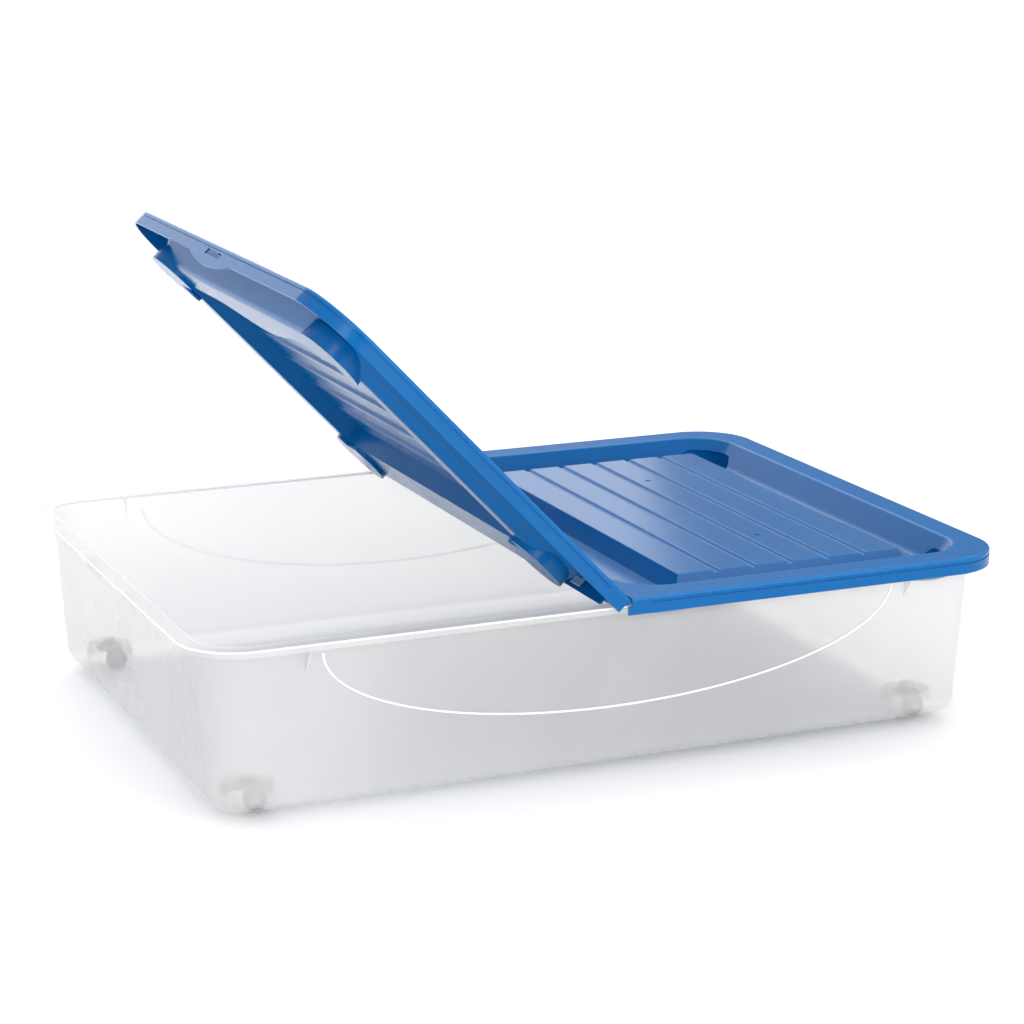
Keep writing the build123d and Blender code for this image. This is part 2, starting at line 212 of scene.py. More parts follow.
def rounded_skin(bm, centre_x, half_x, half_y, corner, profile, closed=False):
    """Draws a rectangle with round corners along a profile of (outwards, z) points.

    The skin is closed by a flat face at each end, or by joining the profile's ends."""
    step = math.tau / (4 * corner_steps)
    ring = bmesh.ops.create_circle(bm, segments=4 * corner_steps, radius=1,
                                   matrix=Matrix.Rotation(step / 2, 4, "Z"))["verts"]
    for v in ring:
        v.co.x += centre_x + math.copysign(half_x, v.co.x)
        v.co.y += math.copysign(half_y, v.co.y)
    edges = first = edges_round(ring)
    every = []
    for number, (out, z) in enumerate(profile):
        if number:
            grown = bmesh.ops.extrude_edge_only(bm, edges=edges)["geom"]
            ring = verts_in(grown)
            edges = edges_in(grown)
        every += ring
        for v in ring:
            turn = Vector((centre_x + math.copysign(half_x - corner, v.co.x - centre_x),
                           math.copysign(half_y - corner, v.co.y)))
            if number:
                outwards = (v.co.xy - turn).normalized()
            else:
                outwards = (v.co.xy - Vector((centre_x + math.copysign(half_x, v.co.x - centre_x),
                                              math.copysign(half_y, v.co.y))))
            v.co.xy = turn + outwards * (corner + out) / math.cos(step / 2)
            v.co.z = z
    if closed:
        bmesh.ops.remove_doubles(bm, verts=every, dist=same_point)
    else:
        bmesh.ops.contextual_create(bm, geom=first)
        bmesh.ops.contextual_create(bm, geom=edges)


def lathe(bm, outline, place):
    """Turns a closed outline of (radius, along) points about the Z axis, and then places it."""
    points = [bm.verts.new((radius, 0, along)) for radius, along in outline]
    edges = [bm.edges.new((a, b)) for a, b in zip(points, points[1:] + points[:1])]
    bmesh.ops.spin(bm, geom=points + edges, cent=(0, 0, 0), axis=(0, 0, 1), angle=math.tau,
                   steps=lathe_steps, use_merge=True, use_duplicate=False)
    # Known fault: for the first dimple, these newest verts take in two of the last bore's.
    newest = bm.verts[-len(points) * lathe_steps:]
    turned = list(dict.fromkeys([v for e in edges for v in e.verts] + newest))
    bmesh.ops.transform(bm, matrix=place, verts=turned)


def foot_arc(radius, lean):
    """Points (outwards, up) of the round between a floor and a wall that leans out by lean."""
    tangent = radius * math.tan((math.pi / 2 - lean) / 2)
    points = []
    for number in range(round_steps + 1):
        angle = -math.pi / 2 + (math.pi / 2 - lean) * number / round_steps
        points.append((radius * math.cos(angle) - tangent, radius * (1 + math.sin(angle))))
    return points


def edge_arc(radius, start, end):
    """Points (outwards, up) on a circle, from one angle to another, about its centre."""
    points = []
    for number in range(round_steps + 1):
        angle = start + (end - start) * number / round_steps
        points.append((radius * math.cos(angle), radius * math.sin(angle)))
    return points


def box(bm, low, high):
    centre = [(a + b) / 2 for a, b in zip(low, high)]
    size = [b - a for a, b in zip(low, high)]
    place = Matrix.Translation(centre) @ Matrix.Diagonal((*size, 1))
    return bmesh.ops.create_cube(bm, size=1, matrix=place)["verts"]


def post(bm, x, y, radius, low, high, top_round=0.0, segments=64):
    """An upright round bar, with its top edge rounded."""
    made = bmesh.ops.create_cone(
        bm, cap_ends=True, segments=segments, radius1=radius, radius2=radius, depth=high - low,
        matrix=Matrix.Translation((x, y, (low + high) / 2)))
    if top_round:
        top = [e for e in edges_round(made["verts"])
               if all(abs(v.co.z - high) < same_place for v in e.verts)]
        bmesh.ops.bevel(bm, geom=top, offset=top_round, segments=5, profile=0.5,
                        affect="EDGES", material=-1)


def bar_along_y(bm, radius, low_y, high_y, x=0.0, z=0.0, segments=48):
    place = Matrix.Translation((x, (low_y + high_y) / 2, z)) @ Matrix.Rotation(math.pi / 2, 4, "X")
    bmesh.ops.create_cone(bm, cap_ends=True, segments=segments, radius1=radius, radius2=radius,
                          depth=high_y - low_y, matrix=place)


def as_object(bm, name):
    bmesh.ops.recalc_face_normals(bm, faces=bm.faces)
    mesh = bpy.data.meshes.new(name)
    bm.to_mesh(mesh)
    bm.free()
    made = bpy.data.objects.new(name, mesh)
    bpy.context.scene.collection.objects.link(made)
    return made


def settle(piece):
    """Applies a piece's modifiers."""
    graph = bpy.context.evaluated_depsgraph_get()
    mesh = bpy.data.meshes.new_from_object(piece.evaluated_get(graph))
    piece.modifiers.clear()
    old = piece.data
    piece.data = mesh
    mesh.name = old.name
    bpy.data.meshes.remove(old)


def combine(piece, tool_bm, operation):
    """Joins a tool's solids to a piece or cuts them from it."""
    tool = as_object(tool_bm, "tool")
    join = piece.modifiers.new("combine", "BOOLEAN")
    join.object = tool
    join.operation = operation
    join.solver = "EXACT"
    join.use_self = True
    settle(piece)
    mesh = tool.data
    bpy.data.objects.remove(tool)
    bpy.data.meshes.remove(mesh)


smallest_gap = 0.002         # closer points are one point
sharp_angle = 32.0


def finish_piece(piece, body, material, replaced, narrow_face=0.85, marked_above=0.0):
    """Cleans the mesh, turns it into metres, and gives it its body, slot and finish.

    Faces under narrow_face wide and above marked_above belong to a rounded or raised edge, and
    are marked as such."""
    bm = bmesh.new()
    bm.from_mesh(piece.data)
    bmesh.ops.remove_doubles(bm, verts=bm.verts, dist=smallest_gap)
    bmesh.ops.dissolve_degenerate(bm, edges=bm.edges, dist=smallest_gap)
    bmesh.ops.scale(bm, vec=(MM, MM, MM), verts=bm.verts)
    narrow = bm.faces.layers.float.new("narrow")
    for face in bm.faces:
        face.smooth = True
        width = face.calc_area() / max(edge.calc_length() for edge in face.edges)
        high_enough = face.calc_center_median().z > marked_above * MM
        face[narrow] = 1.0 if high_enough and width < narrow_face * MM else 0.0
    bm.to_mesh(piece.data)
    bm.free()
    piece.data.set_sharp_from_angle(angle=math.radians(sharp_angle))
    even = piece.modifiers.new("even_normals", "WEIGHTED_NORMAL")
    even.keep_sharp = True
    piece.data.materials.clear()
    piece.data.materials.append(material)
    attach(piece, body)
    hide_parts(*replaced)


# ==== Lid ================================================================================
def lid_pan():
    """Top plate and skirt of the right half, open below, with a round bead along its edge."""
    bm = bmesh.new()
    profile = [(-skirt_wall, lid_top - plate), (-skirt_wall, skirt_low), (0, skirt_low)]
    profile += [(u - bead, lid_top - bead + v) for u, v in edge_arc(bead, 0, math.pi / 2)]
    rounded_skin(bm, 0, lid_x, lid_y, lid_corner, profile)
    bmesh.ops.contextual_create(bm, geom=slice_off(bm, (edge_gap, 0, 0), (-1, 0, 0)))
    return as_object(bm, "lid_pan")


def groove_ring():
    """Ring that cuts the groove under the bead. It stops short of the hinge line."""
    bm = bmesh.new()
    profile = [(past, groove_low), (past, groove_top), (-groove_depth, groove_top),
               (-groove_depth, groove_low), (past, groove_low)]
    rounded_skin(bm, 0, lid_x, lid_y, lid_corner, profile, closed=True)
    ends = slice_off(bm, (groove_start, 0, 0), (-1, 0, 0))
    bmesh.ops.holes_fill(bm, edges=ends, sides=0)
    return bm


def tray_body(bm, wall, depth, floor_round, mouth_round=0.0):
    """The dished tray as a closed body, wall wider than the hollow all round."""
    half_x = (tray_high_x - tray_low_x) / 2
    lean = math.tan(tray_lean)
    floor_z = lid_top - depth
    profile = [(u - depth * lean, floor_z + v) for u, v in foot_arc(floor_round, tray_lean)]
    if mouth_round:
        out = mouth_round * math.tan((math.pi / 2 - tray_lean) / 2)
        turn = edge_arc(mouth_round, math.pi - tray_lean, math.pi / 2)
        profile += [(out + u, lid_top - mouth_round + v) for u, v in turn]
        profile.append((out, lid_top + past))
    else:
        profile.append((0, lid_top))
    profile = [(out + wall, z) for out, z in profile]
    rounded_skin(bm, tray_low_x + half_x, half_x, tray_y, tray_corner, profile)


def recess_posts(bm, radius, low):
    """Round places in the tray that take the casters of a box stacked on top."""
    for x in recess_places_x:
        for side in (-1, 1):
            post(bm, x, side * caster_y, radius, low, recess_high, segments=96)


def platform_body(inset, top, low):
    """The raised platform, its faces set in by inset, with the curved bite in its end."""
    bm = bmesh.new()
    low_x = platform_low_x + inset
    high_x = platform_high_x - inset
    half_y = platform_y - inset
    made = bmesh.ops.create_grid(bm, x_segments=1, y_segments=72, size=1)
    for v in made["verts"]:
        y = v.co.y * half_y
        bite = 0.0
        if v.co.x > 0 and abs(y) < bite_half:
            bite = bite_depth * (1 + math.cos(math.pi * y / bite_half)) / 2
        v.co = (low_x if v.co.x < 0 else high_x - bite, y, top)
    feet = verts_in(bmesh.ops.extrude_face_region(bm, geom=bm.faces[:])["geom"])
    spread = (top - low) * math.tan(platform_lean)
    middle = (low_x + high_x) / 2
    for v in feet:
        v.co.x += math.copysign(spread, v.co.x - middle)
        if abs(abs(v.co.y) - half_y) < same_place:
            v.co.y += math.copysign(spread, v.co.y)
        v.co.z = low
    bm.normal_update()
    flat = [e for e in bm.edges
            if e.calc_length() > 1 and len(e.link_faces) == 2 and e.calc_face_angle() < flat_angle]
    bmesh.ops.dissolve_edges(bm, edges=flat, use_verts=False)
    return as_object(bm, "platform")


def stripe_bars(half_width, low):
    """Bars with leaning sides, one for each groove between two stripes."""
    bm = bmesh.new()
    pitch = (platform_high_x - platform_low_x) / stripe_count
    high = low + 2 * stripe_groove_depth
    for number in range(1, stripe_count):
        x = platform_low_x + number * pitch
        for v in box(bm, (x - half_width, -lid_y, low), (x + half_width, lid_y, high)):
            if v.co.z > (low + high) / 2:
                v.co.x += math.copysign(2 * stripe_groove_slope, v.co.x - x)
    return bm


def as_tool(piece):
    """Gives a piece's mesh as a tool for combine, and removes the piece."""
    bm = bmesh.new()
    bm.from_mesh(piece.data)
    mesh = piece.data
    bpy.data.objects.remove(piece)
    bpy.data.meshes.remove(mesh)
    return bm


def raised_platform():
    piece = platform_body(0, platform_top, tray_floor - plate)
    combine(piece, stripe_bars(stripe_groove / 2, platform_top - stripe_groove_depth), "DIFFERENCE")
    bm = as_tool(piece)
    bmesh.ops.remove_doubles(bm, verts=bm.verts, dist=same_point)
    bm.normal_update()
    sharp = [e for e in bm.edges
             if len(e.link_faces) == 2 and e.calc_face_angle() > edge_angle
             and min(v.co.z for v in e.verts) > tray_floor]
    bmesh.ops.bevel(bm, geom=sharp, offset=platform_edge_round, segments=3, profile=0.5,
                    affect="EDGES", clamp_overlap=True, material=-1)
    return bm


def platform_hollow():
    low = recess_low - plate
    piece = platform_body(plate, platform_top - plate, low - past)
    bars = stripe_bars((stripe_groove + plate) / 2, platform_top - stripe_groove_depth - plate)
    combine(piece, bars, "DIFFERENCE")
    return as_tool(piece)


def moulding_marks(bm):
    """Small three-cornered marks that the mould leaves in the platform's top."""
    for x, y in mark_places:
        post(bm, x, y, mark_radius, platform_top - mark_depth, platform_top + past, segments=3)


def channel_ribs(bm):
    """Ribs in the channel under the rim. They rest on the rim of the tub."""
    inner_x = tray_high_x + past
    inner_y = tray_y + past
    high = lid_top - plate + past
    for x in side_rib_places:
        for side in (-1, 1):
            low_y, high_y = sorted((side * inner_y, side * (lid_y - skirt_wall / 2)))
            box(bm, (x - rib_half, low_y, rib_low), (x + rib_half, high_y, high))
    for y in end_rib_places:
        box(bm, (inner_x, y - rib_half, rib_low), (lid_x - skirt_wall / 2, y + rib_half, high))


def hinge_walls(bm):
    """The wall beside the hinge line, and the deeper block that reaches down into the tub."""
    inner_y = lid_y - skirt_wall / 2
    high_x = hinge_wall_x + skirt_wall
    box(bm, (hinge_wall_x, -inner_y, rib_low), (high_x, inner_y, lid_top - plate + past))
    box(bm, (hinge_wall_x, -hinge_wall_y, hinge_wall_foot), (high_x, hinge_wall_y, rib_low + past))


def pull_tab(bm):
    """Half-moon tab that carries the skirt down at the middle of the free end."""
    radius = (tab_half ** 2 + tab_drop ** 2) / (2 * tab_drop)
    centre = Matrix.Translation((lid_x, 0, skirt_low - tab_drop + radius))
    bmesh.ops.create_circle(bm, cap_ends=True, segments=512, radius=radius,
                            matrix=centre @ Matrix.Rotation(math.pi / 2, 4, "Y"))
    slice_off(bm, (0, 0, skirt_low + past), (0, 0, 1))
    back = verts_in(bmesh.ops.extrude_face_region(bm, geom=bm.faces[:])["geom"])
    bmesh.ops.translate(bm, verts=back, vec=(-skirt_wall, 0, 0))


def lid_half():
    """What both halves share, drawn closed and to the right of the hinge line."""
    piece = lid_pan()
    walls = bmesh.new()
    tray_body(walls, tray_wall, tray_depth + plate, tray_floor_round + plate)
    recess_posts(walls, recess_radius + plate, recess_low - plate)
    channel_ribs(walls)
    hinge_walls(walls)
    combine(piece, walls, "UNION")
    tab = bmesh.new()
    pull_tab(tab)
    combine(piece, tab, "UNION")
    hollow = bmesh.new()
    tray_body(hollow, 0, tray_depth, tray_floor_round, tray_mouth_round)
    recess_posts(hollow, recess_radius, recess_low)
    box(hollow, (lid_x - 3, -slot_half, slot_low), (lid_x + past, slot_half, slot_low + slot_height))
    combine(piece, hollow, "DIFFERENCE")
    combine(piece, groove_ring(), "DIFFERENCE")
    combine(piece, raised_platform(), "UNION")
    under = platform_hollow()
    moulding_marks(under)
    combine(piece, under, "DIFFERENCE")
    return piece


def hooks():
    """Open hooks that hold the rod from below."""
    bm = bmesh.new()
    for y in hook_places:
        low_y, high_y = y - hook_half, y + hook_half
        bar_along_y(bm, hook_outer, low_y, high_y, z=hinge_z)
        box(bm, (0, low_y, hinge_z - hook_outer),
            (hinge_wall_x + skirt_wall / 2, high_y, lid_top - plate))
    piece = as_object(bm, "hooks")
    bores = bmesh.new()
    for y in hook_places:
        bar_along_y(bores, hook_inner, y - hook_half - past, y + hook_half + past, z=hinge_z)
        box(bores, (-hook_outer - past, y - hook_half - past, hinge_z + hook_mouth),
            (hook_outer + past, y + hook_half + past, hinge_z + hook_outer + past))
    combine(piece, bores, "DIFFERENCE")
    return as_tool(piece)


def grain_rim(piece):
    """Marks the flat top of the rim, which has a coarser grain than the polished tray."""
    bm = bmesh.new()
    bm.from_mesh(piece.data)
    grained = bm.faces.layers.float.new("grained")
    for face in bm.faces:
        face[grained] = 1.0 if face.calc_center_median().z > lid_top - rim_top_depth else 0.0
    bm.to_mesh(piece.data)
    bm.free()


def lid_right(half):
    """The half that stays closed. It carries the hooks."""
    piece = half.copy()
    piece.data = half.data.copy()
    bpy.context.scene.collection.objects.link(piece)
    room = bmesh.new()
    box(room, (-past, -lid_y - past, hinge_z - hook_inner - hook_cut_gap),
        (hook_inner + hook_cut_gap, lid_y + past, lid_top + past))
    combine(piece, room, "DIFFERENCE")
    combine(piece, hooks(), "UNION")
    grain_rim(piece)
    return piece


def lid_left(piece):
    """The half that is raised. It carries the rod, with a window for each hook."""
    windows = bmesh.new()
    for y in hook_places:
        box(windows, (-window_cut, y - window_half, skirt_low),
            (hinge_wall_x + skirt_wall + window_cut, y + window_half, lid_top + window_cut))
    combine(piece, windows, "DIFFERENCE")
    rod = bmesh.new()
    bar_along_y(rod, rod_radius, -lid_y + skirt_wall, lid_y - skirt_wall, z=hinge_z)
    combine(piece, rod, "UNION")
    grain_rim(piece)
    bm = bmesh.new()
    bm.from_mesh(piece.data)
    bmesh.ops.scale(bm, vec=(-1, 1, 1), verts=bm.verts)
    bmesh.ops.rotate(bm, verts=bm.verts, cent=(0, 0, hinge_z),
                     matrix=Matrix.Rotation(math.radians(open_angle), 3, "Y"))
    bmesh.ops.recalc_face_normals(bm, faces=bm.faces)
    bm.to_mesh(piece.data)
    bm.free()
    return piece


# ==== Tub ================================================================================
def wall_out(z):
    """From the rim's outer edge to the outer face of the wall, at height z, counted outwards."""
    return -rim_shelf - (rim_top - z) * math.tan(tub_lean)


def tub_shell():
    """Floor, leaning walls and rolled rim, as one skin round the wall's thickness."""
    bm = bmesh.new()
    base = wall_out(tub_floor_low)
    profile = [(base + u, tub_floor_low + v) for u, v in foot_arc(tub_base_round, tub_lean)]
    under = rim_top - rim_thickness
    lip_low = rim_top - rim_lip
    profile += [(wall_out(under), under), (-rim_thickness, under), (-rim_thickness, lip_low),
                (0, lip_low)]
    turn = edge_arc(rim_round, 0, math.pi / 2)
    profile += [(u - rim_round, rim_top - rim_round + v) for u, v in turn]
    inner_top = wall_out(rim_top) - tub_wall
    turn = edge_arc(rim_round, math.pi / 2, math.pi)
    profile += [(inner_top + rim_round + u, rim_top - rim_round + v) for u, v in turn]
    floor_z = tub_floor_low + tub_floor_thickness
    inner_foot = foot_arc(tub_base_round - tub_wall, tub_lean)
    inner_base = wall_out(floor_z) - tub_wall
    profile += [(inner_base + u, floor_z + v) for u, v in reversed(inner_foot)]
    rounded_skin(bm, 0, rim_x, rim_y, rim_corner, profile)
    return as_object(bm, "tub_shell")


def wall_arcs():
    """The curved ribs on the long walls: half an ellipse, a little proud of the leaning face."""
    bm = bmesh.new()
    for half in (-arc_half_width, arc_half_width):
        shape = Matrix.Diagonal((arc_half_x + half, arc_drop + half, 1, 1))
        bmesh.ops.create_circle(bm, segments=256, radius=1, matrix=shape)
    bmesh.ops.bridge_loops(bm, edges=bm.edges[:])
    slice_off(bm, (0, 0, 0), (0, 1, 0))
    outside = verts_in(bmesh.ops.extrude_face_region(bm, geom=bm.faces[:])["geom"])
    bmesh.ops.translate(bm, verts=outside, vec=(0, 0, arc_proud + tub_wall / 2))
    bmesh.ops.rotate(bm, verts=bm.verts, matrix=Matrix.Rotation(math.pi / 2, 3, "X"))
    bmesh.ops.translate(bm, verts=bm.verts, vec=(0, tub_wall / 2, arc_top))
    for v in bm.verts:
        v.co.y -= rim_y + wall_out(v.co.z)
    twin = bmesh.ops.duplicate(bm, geom=bm.verts[:] + bm.edges[:] + bm.faces[:])
    bmesh.ops.scale(bm, vec=(1, -1, 1), verts=verts_in(twin["geom"]))
    return bm


def rim_bracket(bm, x, y, turn):
    """A thin gusset between the wall and the underside of the rim."""
    top = rim_top - rim_thickness
    reach = rim_shelf - rim_thickness / 2
    lean = bracket_drop * math.tan(tub_lean)
    outline = ((-tub_wall / 2, top + past), (reach, top + past), (reach, top - rim_lip),
               (-lean, top - bracket_drop), (-lean - tub_wall / 2, top - bracket_drop))
    edge = [bm.verts.new((u, -bracket_half, z)) for u, z in outline]
    face = bmesh.ops.contextual_create(bm, geom=edge)["faces"]
    far = verts_in(bmesh.ops.extrude_face_region(bm, geom=face)["geom"])
    bmesh.ops.translate(bm, verts=far, vec=(0, 2 * bracket_half, 0))
    place = Matrix.Translation((x, y, 0)) @ Matrix.Rotation(math.radians(turn), 4, "Z")
    bmesh.ops.transform(bm, matrix=place, verts=edge + far)


def dimple(bm, y):
    """A shallow ring pressed into the floor, with the gate mark left standing in its middle."""
    low, high = -dimple_depth, dimple_depth
    outline = ((gate_radius, low), (dimple_radius, low), (dimple_radius, high),
               (gate_radius, high))
    lathe(bm, outline, Matrix.Translation((0, y, tub_floor_low + tub_floor_thickness)))


def tub():
    piece = tub_shell()
    added = wall_arcs()
    for side in (-1, 1):
        for y in bracket_places_y:
            rim_bracket(added, side * (rim_x - rim_shelf), y, 90 - 90 * side)
        for x in bracket_places_x:
            rim_bracket(added, x, side * (rim_y - rim_shelf), 90 * side)
    roof_top = pocket_roof + pocket_wall
    floor_mid = tub_floor_low + tub_floor_thickness / 2
    for side_x, side_y in corners.values():
        x, y = side_x * caster_x, side_y * caster_y
        post(added, x, y, pocket_radius + pocket_wall, floor_mid, roof_top,
             top_round=pocket_wall, segments=96)
        post(added, x, y, boss_radius, roof_top - pocket_wall / 2, boss_top,
             top_round=boss_round, segments=48)
    combine(piece, added, "UNION")
    cuts = bmesh.new()
    for side_x, side_y in corners.values():
        x, y = side_x * caster_x, side_y * caster_y
        post(cuts, x, y, pocket_radius, tub_floor_low - past, pocket_roof, segments=96)
        post(cuts, x, y, bore_radius, pocket_roof - past, bore_top, segments=32)
    for y in dimple_places_y:
        dimple(cuts, y)
    combine(piece, cuts, "DIFFERENCE")
    return piece


# ==== Casters ============================================================================
trail = 7.0
wheel_radius = 10.0
wheel_half = 4.5
tread_round = 1.5
wheel_dish = 7.0
hub_radius = 3.0
dish_depth = 1.5
axle_radius = 1.5
axle_half = 6.9
axle_chamfer = 0.3
axle_gap = 0.06
cheek_low = wheel_half + 0.4
cheek_high = cheek_low + 2.0
cheek_radius = 4.2
fork_low = 22.5
fork_high = 25.5
fork_radius = 12.5
web_front = 8.5
web_back = 6.5
stem_radius = 2.5
stem_high = fork_low + 9.0
stem_chamfer = 0.5
ON_AXLE = Matrix.Translation((trail, 0, wheel_radius)) @ Matrix.Rotation(math.pi / 2, 4, "X")


def wheel():
    """A tread with rounded shoulders, a dished web and a hub with its bore."""
    web = wheel_half - dish_depth
    half = [(axle_radius + axle_gap, wheel_half), (hub_radius, wheel_half), (hub_radius, web),
            (wheel_dish, web), (wheel_dish, wheel_half)]
    turn = edge_arc(tread_round, math.pi / 2, 0)
    half += [(wheel_radius - tread_round + u, wheel_half - tread_round + v) for u, v in turn]
    bm = bmesh.new()
    lathe(bm, half + [(radius, -along) for radius, along in reversed(half)], ON_AXLE)
    return as_object(bm, "wheel")


def pin(name, radius, low, high, chamfer, place):
    """A turned pin with both ends chamfered."""
    bm = bmesh.new()
    profile = [(radius - chamfer, low), (radius, low + chamfer), (radius, high - chamfer),
               (radius - chamfer, high)]
    points = [bm.verts.new((u, 0, v)) for u, v in profile]
    edges = [bm.edges.new(pair) for pair in zip(points, points[1:])]
    bmesh.ops.spin(bm, geom=points + edges, cent=(0, 0, 0), axis=(0, 0, 1), angle=math.tau,
                   steps=lathe_steps // 2, use_merge=True, use_duplicate=False)
    bmesh.ops.holes_fill(bm, edges=bm.edges[:], sides=0)
    bmesh.ops.transform(bm, matrix=place, verts=bm.verts)
    return as_object(bm, name)


def fork():
    """A round plate with two cheeks that hold the axle behind the swivel axis."""
    bm = bmesh.new()
    post(bm, 0, 0, fork_radius, fork_low, fork_high, top_round=fork_round, segments=72)
    piece = as_object(bm, "fork")
    cheeks = bmesh.new()
    middle = (fork_low + fork_high) / 2
    outline = ((trail - cheek_radius, wheel_radius), (trail + cheek_radius, wheel_radius),
               (web_front, middle), (-web_back, middle))
    for side in (-1, 1):
        low_y, high_y = sorted((side * cheek_low, side * cheek_high))
        edge = [cheeks.verts.new((x, low_y, z)) for x, z in outline]
        face = bmesh.ops.contextual_create(cheeks, geom=edge)["faces"]
        far = verts_in(bmesh.ops.extrude_face_region(cheeks, geom=face)["geom"])
        bmesh.ops.translate(cheeks, verts=far, vec=(0, high_y - low_y, 0))
        bar_along_y(cheeks, cheek_radius, low_y, high_y, x=trail, z=wheel_radius)
    combine(piece, cheeks, "UNION")
    holes = bmesh.new()
    bar_along_y(holes, axle_radius, -2 * cheek_high, 2 * cheek_high, x=trail, z=wheel_radius,
                segments=36)
    post(holes, 0, 0, stem_radius, 0, fork_high + past, segments=36)
    combine(piece, holes, "DIFFERENCE")
    return piece


def casters(finishes):
    """Four casters, each a fork with its stem and axle on one body and a wheel on the next."""
    stem = pin("stem", stem_radius, fork_low, stem_high, stem_chamfer, Matrix.Identity(4))
    axle = pin("axle", axle_radius, -axle_half, axle_half, axle_chamfer, ON_AXLE)
    patterns = {
        "fork": (fork(), "fork_", "caster_plastic"),
        "stem": (stem, "fork_", "caster_steel"),
        "axle": (axle, "fork_", "caster_steel"),
        "wheel": (wheel(), "wheel_", "wheel_plastic"),
    }
    for name, (pattern, body, slot) in patterns.items():
        for corner, (side_x, side_y) in corners.items():
            piece = pattern.copy()
            piece.data = pattern.data.copy()
            piece.name = name + "_" + corner
            bpy.context.scene.collection.objects.link(piece)
            piece.data.transform(Matrix.Translation((side_x * caster_x, side_y * caster_y, 0)))
            finish_piece(piece, body + corner, finishes[slot],
                         ["caster_" + name + "_" + corner])
        bpy.data.objects.remove(pattern)


# ==== Materials ==========================================================================
def new_group(name, inputs, outputs):
    group = bpy.data.node_groups.new(name, "ShaderNodeTree")
    for socket, value in inputs.items():
        made = group.interface.new_socket(socket, in_out="INPUT", socket_type="NodeSocketFloat")
        made.default_value = value
    for socket in outputs:
        group.interface.new_socket(socket, in_out="OUTPUT", socket_type="NodeSocketFloat")
    return group, group.nodes.new("NodeGroupInput"), group.nodes.new("NodeGroupOutput")


scuff_turn = (0.0, 0.0, 0.5)
scuff_stretch = (1.0, 14.0, 6.0)
scuff_starts = 0.62          # the noise under this leaves no scuff
scuff_full = 0.75


def moulded_surface():
    """Fine spark-eroded grain, slow flow clouds and faint scuffs of an injection moulding."""
    scales = {"Grain Scale": 900.0, "Cloud Scale": 6.0, "Scuff Scale": 40.0}
    group, given, result = new_group("moulded_surface", scales, ("Grain", "Cloud", "Scuff"))
    links = group.links
    place = group.nodes.new("ShaderNodeTexCoord")
    stretch = group.nodes.new("ShaderNodeMapping")
    stretch.inputs["Rotation"].default_value = scuff_turn
    stretch.inputs["Scale"].default_value = scuff_stretch
    links.new(place.outputs["Object"], stretch.inputs["Vector"])
    noises = {}
    for name, detail, distortion, where in (
            ("Grain", 2.0, 0.0, place.outputs["Object"]),
            ("Cloud", 3.0, 0.6, place.outputs["Object"]),
            ("Scuff", 4.0, 0.0, stretch.outputs["Vector"])):
        noise = noises[name] = group.nodes.new("ShaderNodeTexNoise")
        noise.inputs["Detail"].default_value = detail
        noise.inputs["Distortion"].default_value = distortion
        links.new(where, noise.inputs["Vector"])
        links.new(given.outputs[name + " Scale"], noise.inputs["Scale"])
    links.new(noises["Grain"].outputs["Fac"], result.inputs["Grain"])
    links.new(noises["Cloud"].outputs["Fac"], result.inputs["Cloud"])
    thin = group.nodes.new("ShaderNodeMapRange")
    thin.inputs["From Min"].default_value = scuff_starts
    thin.inputs["From Max"].default_value = scuff_full
    links.new(noises["Scuff"].outputs["Fac"], thin.inputs["Value"])
    links.new(thin.outputs["Result"], result.inputs["Scuff"])
    return group


def edge_highlight_and_thickness():
    """A mask of the rounded and raised edges: it places the painted highlight there, and the thicker
    cover of a clear plastic.
    """
    group, given, result = new_group("edge_highlight_and_thickness", {"Amount": 1.0}, ("Edge",))
    narrow = group.nodes.new("ShaderNodeAttribute")
    narrow.attribute_name = "narrow"
    scaled = group.nodes.new("ShaderNodeMath")
    scaled.operation = "MULTIPLY"
    group.links.new(narrow.outputs["Fac"], scaled.inputs[0])
    group.links.new(given.outputs["Amount"], scaled.inputs[1])
    group.links.new(scaled.outputs["Value"], result.inputs["Edge"])
    return group


grained_roughness = 0.35     # added where a surface is grained
grained_height = 4.0         # how much higher the grain stands there
scuff_roughness = 0.05       # added where a surface is scuffed
surface_group = moulded_surface()
edge_group = edge_highlight_and_thickness()


